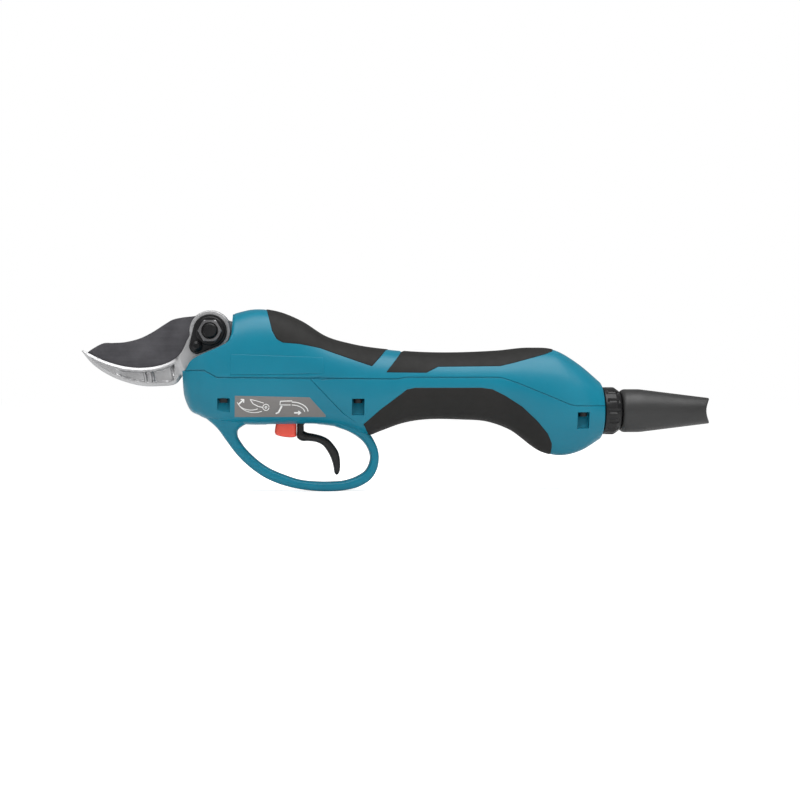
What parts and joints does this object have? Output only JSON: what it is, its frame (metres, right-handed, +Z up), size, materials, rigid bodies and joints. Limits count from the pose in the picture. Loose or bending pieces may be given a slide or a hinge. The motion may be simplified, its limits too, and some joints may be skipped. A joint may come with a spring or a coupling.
{
  "type": "battery electric pruner",
  "caption": "In-line electric pruning shear with a hooked counter blade, a swinging cutting blade, a finger trigger in a loop guard, rubber grips and a cable boot at its tail.",
  "frame": {"origin": "middle of the whole object's box, at rest with the blades closed", "axes": "+X from the blade tip to the cable end, +Z up with the trigger guard below, +Y towards the far side where the pivot bolt has its head"},
  "size_m": [0.3522, 0.042, 0.1008],
  "materials": {
    "housing_turquoise": "turquoise glass-filled nylon, fine moulded grain",
    "rubber_black": "soft black overmoulded grip rubber, matte",
    "blade_steel": "bright ground and polished tool steel",
    "blade_coated": "dark low-friction coating on ground tool steel",
    "black_steel": "black oxide steel",
    "cast_alloy": "cast and machined aluminium",
    "bronze": "sintered bronze",
    "gear_steel": "hardened steel, lightly oiled",
    "black_plastic": "black moulded nylon",
    "lock_red": "red moulded acetal",
    "label_grey": "grey printed label film with plain pictograms",
    "spring_steel": "bright spring wire",
    "copper": "copper windings and contacts",
    "board_green": "green circuit board",
    "lead_red": "red lead insulation",
    "seal_black": "black nitrile rubber"
  },
  "bodies": {
    "root": {"counter_blade": "blade_steel", "head_frame": "cast_alloy", "pivot_bolt": "black_steel", "pivot_nut": "black_steel", "lock_plate": "black_steel", "lock_screw": "black_steel", "blade_screw_1": "black_steel", "blade_screw_2": "black_steel", "screw_bearing": "gear_steel", "gear_case": "cast_alloy", "motor_stator": "copper", "motor_can": "black_steel", "motor_end_cap": "cast_alloy", "rotor_bearing_front": "gear_steel", "rotor_bearing_rear": "gear_steel", "board_tray": "black_plastic", "control_board": "board_green", "sensor_board": "board_green", "power_lead_positive": "lead_red", "power_lead_negative": "seal_black", "trigger_pin": "gear_steel", "trigger_spring": "spring_steel", "lock_pin": "gear_steel", "lock_spring": "spring_steel", "upper_housing": "housing_turquoise", "lower_front_housing": "housing_turquoise", "lower_rear_housing": "housing_turquoise", "front_top_pad": "rubber_black", "rear_top_pad": "rubber_black", "lower_grip_pad": "rubber_black", "label_plate_near": "label_grey", "label_plate_far": "label_grey", "housing_screw_1": "black_steel", "housing_screw_2": "black_steel", "housing_screw_3": "black_steel", "housing_screw_4": "black_steel", "housing_screw_5": "black_steel", "housing_screw_6": "black_steel", "inlet_socket": "black_plastic", "contact_pin_positive": "copper", "contact_pin_negative": "copper", "socket_seal": "seal_black", "plug_body": "black_plastic", "cable_boot": "rubber_black"},
    "blade": {"cutting_blade": "blade_coated", "pivot_bushing": "bronze", "drive_pin": "gear_steel"},
    "carriage": {"nut_carriage": "gear_steel"},
    "screw": {"drive_screw": "gear_steel", "planet_carrier": "gear_steel"},
    "planet_1": {"planet_gear_1": "gear_steel"},
    "planet_2": {"planet_gear_2": "gear_steel"},
    "planet_3": {"planet_gear_3": "gear_steel"},
    "rotor": {"motor_rotor": "gear_steel", "sun_pinion": "gear_steel"},
    "trigger": {"trigger": "black_plastic", "trigger_magnet": "gear_steel"},
    "lock": {"lock_lever": "lock_red"},
    "ring": {"coupling_ring": "black_plastic"}
  },
  "joints": [
    {"name": "blade_pivot", "type": "hinge", "parent": "root", "child": "blade", "pos_m": [-0.10635, 0, 0.03842], "axis": [0, 1, 0], "range_deg": [0, 44]},
    {"name": "nut_slide", "type": "slide", "parent": "root", "child": "carriage", "axis": [-1, 0, 0], "range_m": [0, 0.0206]},
    {"name": "screw_spin", "type": "hinge", "parent": "root", "child": "screw", "pos_m": [-0.06335, 0, 0.00892], "axis": [1, 0, 0], "range_deg": [0, 925]},
    {"name": "planet_spin_1", "type": "hinge", "parent": "screw", "child": "planet_1", "pos_m": [-0.03505, 0, 0.01702], "axis": [1, 0, 0], "range_deg": [-2590, 0]},
    {"name": "planet_spin_2", "type": "hinge", "parent": "screw", "child": "planet_2", "pos_m": [-0.03505, -0.00702, 0.00487], "axis": [1, 0, 0], "range_deg": [-2590, 0]},
    {"name": "planet_spin_3", "type": "hinge", "parent": "screw", "child": "planet_3", "pos_m": [-0.03505, 0.00702, 0.00487], "axis": [1, 0, 0], "range_deg": [-2590, 0]},
    {"name": "rotor_spin", "type": "hinge", "parent": "root", "child": "rotor", "pos_m": [-0.00935, 0, 0.00892], "axis": [1, 0, 0], "range_deg": [0, 4160]},
    {"name": "trigger_pull", "type": "hinge", "parent": "root", "child": "trigger", "pos_m": [-0.05235, 0, -0.00758], "axis": [0, -1, 0], "range_deg": [0, 18], "stiffness_Nm_per_rad": 0.05, "springref_deg": -17.19, "deforming": ["trigger_spring"]},
    {"name": "lock_swing", "type": "hinge", "parent": "root", "child": "lock", "pos_m": [-0.06485, 0, -0.00858], "axis": [0, 1, 0], "range_deg": [0, 22], "stiffness_Nm_per_rad": 0.02, "springref_deg": -14.32, "deforming": ["lock_spring"]},
    {"name": "ring_turn", "type": "hinge", "parent": "root", "child": "ring", "pos_m": [0.11765, 0, -0.00558], "axis": [1, 0, 0], "range_deg": [0, 30]}
  ],
  "couplings": [
    {"joint": "nut_slide", "follows": "blade_pivot", "m_per_rad": 0.026629},
    {"joint": "screw_spin", "follows": "blade_pivot", "ratio": 20.915},
    {"joint": "planet_spin_1", "follows": "blade_pivot", "ratio": -58.561},
    {"joint": "planet_spin_2", "follows": "blade_pivot", "ratio": -58.561},
    {"joint": "planet_spin_3", "follows": "blade_pivot", "ratio": -58.561},
    {"joint": "rotor_spin", "follows": "blade_pivot", "ratio": 94.115}
  ]
}
